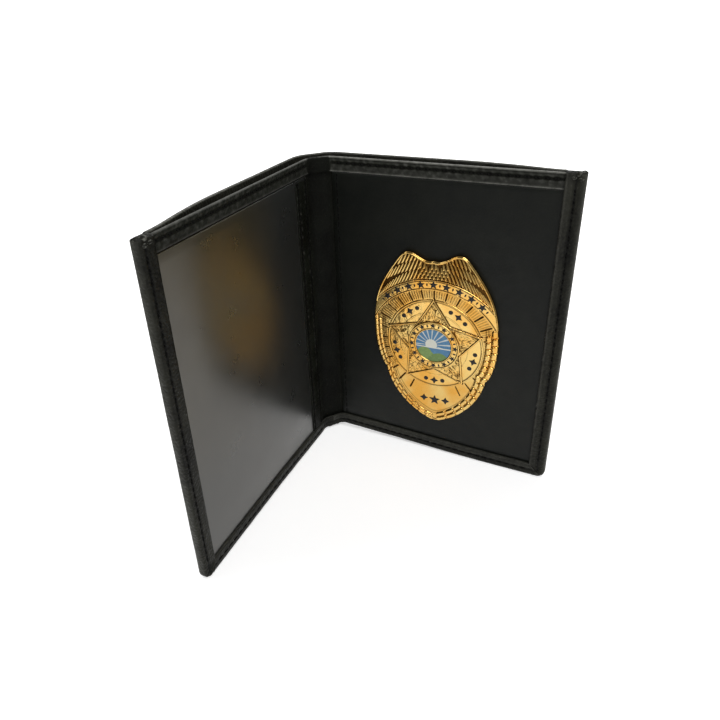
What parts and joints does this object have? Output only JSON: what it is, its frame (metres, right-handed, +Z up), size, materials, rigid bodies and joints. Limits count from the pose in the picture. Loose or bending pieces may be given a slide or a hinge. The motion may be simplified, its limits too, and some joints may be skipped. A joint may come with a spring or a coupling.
{
  "type": "id badge wallet",
  "caption": "Black leather folding wallet, stood half open, with a clear id window on one panel and a gold winged shield badge with a star and round seal on the other.",
  "frame": {"origin": "middle of the spine strip at its foot, halfway between the two folds, in the middle of the outer leather, on the surface that the wallet stands on", "axes": "+Z up along the spine. The badge's panel lies along +X with its inner face towards -Y, and the window's panel lies along -Y with its inner face towards +X"},
  "size_m": [0.0966, 0.0966, 0.12],
  "materials": {
    "cover_leather": "fine-grained black, low sheen",
    "lining_leather": "smooth black, low sheen",
    "badge_panel_leather": "smooth black, satin",
    "board": "plain grey-brown board",
    "thread": "black waxed thread",
    "clear_vinyl": "clear, glossy",
    "gold_metal": "polished gold plate",
    "black_enamel": "hard black enamel",
    "seal_colours": "blue, green and white enamel, glossy",
    "nut_steel": "plain steel"
  },
  "bodies": {
    "spine": {"spine_cover": "cover_leather", "gutter_lining": "lining_leather", "gutter_top_hem": "lining_leather"},
    "right_panel": {"right_cover": "cover_leather", "right_lining": "lining_leather", "right_lining_top_hem": "lining_leather", "badge_board": "board", "badge_leather": "badge_panel_leather", "badge_posts": "gold_metal", "post_nuts": "nut_steel", "right_fore_stitches": "thread", "right_foot_stitches": "thread", "right_top_stitches": "thread", "badge_leather_stitches": "thread", "badge_plate": "gold_metal", "badge_wings": "gold_metal", "badge_banner": "gold_metal", "badge_border": "gold_metal", "badge_disc": "gold_metal", "badge_star": "gold_metal", "seal_ring": "gold_metal", "seal_enamel": "seal_colours", "banner_marks": "black_enamel", "field_marks": "black_enamel", "ring_marks": "black_enamel"},
    "left_panel": {"left_cover": "cover_leather", "left_lining": "lining_leather", "left_lining_top_hem": "lining_leather", "id_window": "clear_vinyl", "window_binding": "lining_leather", "left_fore_stitches": "thread", "left_foot_stitches": "thread", "left_top_stitches": "thread", "binding_stitches": "thread"}
  },
  "joints": [
    {"name": "right_fold", "type": "hinge", "parent": "spine", "child": "right_panel", "pos_m": [0.00354, 0.00354, 0], "axis": [0, 0, -1], "range_deg": [-45, 45]},
    {"name": "left_fold", "type": "hinge", "parent": "spine", "child": "left_panel", "pos_m": [-0.00354, -0.00354, 0], "axis": [0, 0, 1], "range_deg": [-45, 45]}
  ],
  "couplings": [
    {"joint": "left_fold", "follows": "right_fold", "ratio": 1}
  ]
}
